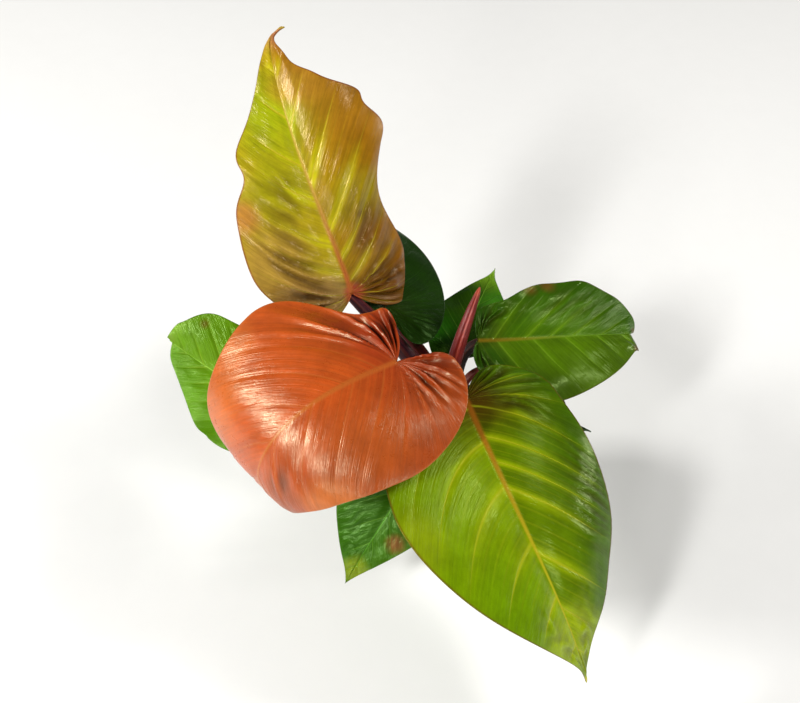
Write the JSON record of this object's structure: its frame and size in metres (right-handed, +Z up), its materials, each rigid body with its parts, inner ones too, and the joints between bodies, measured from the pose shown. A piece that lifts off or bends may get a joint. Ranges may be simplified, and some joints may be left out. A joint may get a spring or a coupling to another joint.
{
  "type": "potted philodendron",
  "caption": "Low rosette of broad heart-shaped leaves, orange when young and green when old, on red-brown stalks around a short stem in a plain round pot.",
  "frame": {"origin": "centre of the pot's underside", "axes": "+Z up; -Y is the side seen first in the picture, with the orange leaf front left and the largest leaf front right; +X to the right"},
  "size_m": [0.3775, 0.4022, 0.3843],
  "materials": {
    "pot": "fine satin",
    "soil": "rough, damp",
    "stem": "rough with leaf scars",
    "sheath": "waxy satin",
    "leaf_orange": "glossy, waxy",
    "petiole_orange": "waxy satin",
    "leaf_bronze": "glossy, waxy",
    "petiole_bronze": "waxy satin",
    "leaf_lime": "glossy, waxy",
    "petiole_lime": "waxy satin",
    "leaf_right": "glossy, waxy",
    "petiole_right": "waxy satin",
    "leaf_dark": "glossy, waxy",
    "petiole_dark": "waxy satin",
    "leaf_back": "glossy, waxy",
    "petiole_back": "waxy satin",
    "leaf_left": "glossy, waxy",
    "petiole_left": "waxy satin",
    "leaf_front": "glossy, waxy",
    "petiole_front": "waxy satin",
    "leaf_under": "glossy, waxy",
    "petiole_under": "waxy satin"
  },
  "bodies": {
    "root": {"pot": "pot", "soil": "soil", "stem": "stem", "sheath": "sheath", "leaf_orange": "leaf_orange", "petiole_orange": "petiole_orange", "leaf_bronze": "leaf_bronze", "petiole_bronze": "petiole_bronze", "leaf_lime": "leaf_lime", "petiole_lime": "petiole_lime", "leaf_right": "leaf_right", "petiole_right": "petiole_right", "leaf_dark": "leaf_dark", "petiole_dark": "petiole_dark", "leaf_back": "leaf_back", "petiole_back": "petiole_back", "leaf_left": "leaf_left", "petiole_left": "petiole_left", "leaf_front": "leaf_front", "petiole_front": "petiole_front", "leaf_under": "leaf_under", "petiole_under": "petiole_under"}
  },
  "joints": []
}
